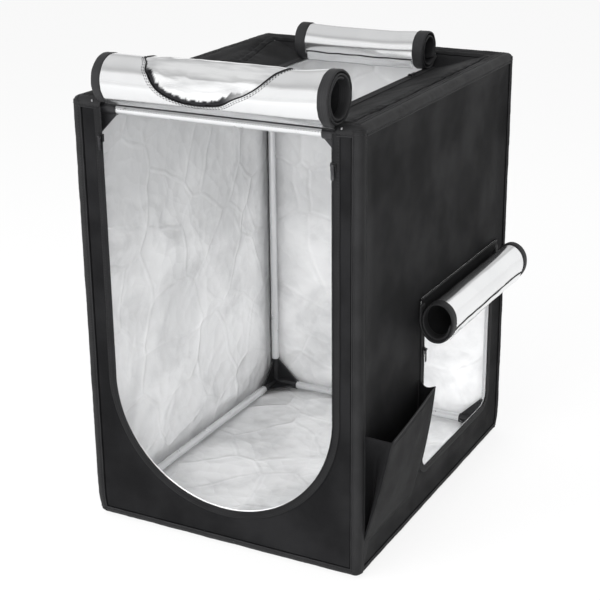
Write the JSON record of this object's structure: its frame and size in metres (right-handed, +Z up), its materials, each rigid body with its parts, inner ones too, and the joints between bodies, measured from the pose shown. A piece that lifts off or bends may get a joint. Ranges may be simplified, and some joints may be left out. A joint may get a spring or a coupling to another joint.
{
  "type": "printer enclosure tent",
  "caption": "Upright fabric enclosure on a tube frame, with a rolled-up front door, rolled roof and side flaps and a side pocket, for housing a desktop 3D printer.",
  "frame": {"origin": "middle of the base, on the surface that the tent stands on", "axes": "+X to the right as seen from the front, +Y to the rear, +Z up; the front door faces -Y"},
  "size_m": [0.5512, 0.642, 0.7936],
  "materials": {
    "frame_tube": "bright white-silver coated steel tube",
    "connector": "moulded black plastic, fine matte",
    "oxford_fabric": "black woven oxford cloth, soft sheen",
    "foil_lining": "crumpled reflective foil laminate",
    "binding_tape": "black ribbed binding tape",
    "zip_tape": "black woven zip tape with plastic teeth",
    "pocket_fabric": "black woven oxford cloth",
    "flap_fabric": "black woven oxford cloth",
    "flap_foil": "bright foil laminate",
    "flap_border": "black binding tape",
    "window_film": "shiny silver film",
    "slider_metal": "black coated zinc",
    "pull_metal": "black coated zinc"
  },
  "bodies": {
    "tent": {"tube_front_bottom": "frame_tube", "tube_rear_bottom": "frame_tube", "tube_left_bottom": "frame_tube", "tube_right_bottom": "frame_tube", "tube_front_top": "frame_tube", "tube_rear_top": "frame_tube", "tube_left_top": "frame_tube", "tube_right_top": "frame_tube", "post_front_left": "frame_tube", "post_front_right": "frame_tube", "post_rear_left": "frame_tube", "post_rear_right": "frame_tube", "connector_bottom_front_left": "connector", "connector_bottom_front_right": "connector", "connector_bottom_rear_left": "connector", "connector_bottom_rear_right": "connector", "connector_top_front_left": "connector", "connector_top_front_right": "connector", "connector_top_rear_left": "connector", "connector_top_rear_right": "connector", "front_panel": "oxford_fabric", "rear_panel": "oxford_fabric", "left_panel": "oxford_fabric", "right_panel": "oxford_fabric", "floor_panel": "oxford_fabric", "roof_panel": "oxford_fabric", "front_lining": "foil_lining", "rear_lining": "foil_lining", "left_lining": "foil_lining", "right_lining": "foil_lining", "floor_lining": "foil_lining", "roof_lining": "foil_lining", "top_edge_binding": "binding_tape", "bottom_edge_binding": "binding_tape", "upright_edge_bindings": "binding_tape", "front_zip_tape": "zip_tape", "side_zip_tape": "zip_tape", "top_zip_tape": "zip_tape", "pocket_front": "pocket_fabric", "pocket_gusset_front": "pocket_fabric", "pocket_gusset_rear": "pocket_fabric"},
    "front_door": {"front_door_fabric": "flap_fabric", "front_door_lining": "flap_foil", "front_door_border": "flap_border", "front_door_window": "window_film"},
    "top_flap": {"top_flap_fabric": "flap_fabric", "top_flap_lining": "flap_foil", "top_flap_border": "flap_border"},
    "side_flap": {"side_flap_fabric": "flap_fabric", "side_flap_lining": "flap_foil", "side_flap_border": "flap_border"},
    "front_slider_left": {"front_zip_slider_left": "slider_metal"},
    "front_slider_right": {"front_zip_slider_right": "slider_metal"},
    "side_slider": {"side_zip_slider": "slider_metal"},
    "top_slider": {"top_zip_slider": "slider_metal"},
    "front_pull_left": {"front_zip_pull_left": "pull_metal"},
    "front_pull_right": {"front_zip_pull_right": "pull_metal"},
    "side_pull": {"side_zip_pull": "pull_metal"},
    "top_pull": {"top_zip_pull": "pull_metal"}
  },
  "joints": [
    {"name": "front_door_swing", "type": "hinge", "parent": "tent", "child": "front_door", "pos_m": [0, -0.30556, 0.71525], "axis": [1, 0, 0], "range_deg": [0, 100]},
    {"name": "top_flap_swing", "type": "hinge", "parent": "tent", "child": "top_flap", "pos_m": [0, 0.266, 0.7213], "axis": [-1, 0, 0], "range_deg": [0, 110]},
    {"name": "side_flap_swing", "type": "hinge", "parent": "tent", "child": "side_flap", "pos_m": [0.2438, 0.095, 0.3905], "axis": [0, -1, 0], "range_deg": [0, 85]},
    {"name": "front_zip_run_left", "type": "slide", "parent": "tent", "child": "front_slider_left", "axis": [0, 0, 1], "range_m": [-0.385, 0]},
    {"name": "front_zip_run_right", "type": "slide", "parent": "tent", "child": "front_slider_right", "axis": [0, 0, 1], "range_m": [-0.385, 0]},
    {"name": "side_zip_run", "type": "slide", "parent": "tent", "child": "side_slider", "axis": [0, 0, 1], "range_m": [-0.185, 0]},
    {"name": "top_zip_run", "type": "slide", "parent": "tent", "child": "top_slider", "axis": [0, 1, 0], "range_m": [-0.26, 0]},
    {"name": "front_pull_swing_left", "type": "hinge", "parent": "front_slider_left", "child": "front_pull_left", "pos_m": [-0.2, -0.3091, 0.663], "axis": [-1, 0, 0], "range_deg": [0, 90]},
    {"name": "front_pull_swing_right", "type": "hinge", "parent": "front_slider_right", "child": "front_pull_right", "pos_m": [0.2, -0.3091, 0.663], "axis": [-1, 0, 0], "range_deg": [0, 90]},
    {"name": "side_pull_swing", "type": "hinge", "parent": "side_slider", "child": "side_pull", "pos_m": [0.2466, -0.06, 0.299], "axis": [0, -1, 0], "range_deg": [0, 90]},
    {"name": "top_pull_swing", "type": "hinge", "parent": "top_slider", "child": "top_pull", "pos_m": [0.121, 0.147, 0.7021], "axis": [1, 0, 0], "range_deg": [0, 90]}
  ]
}
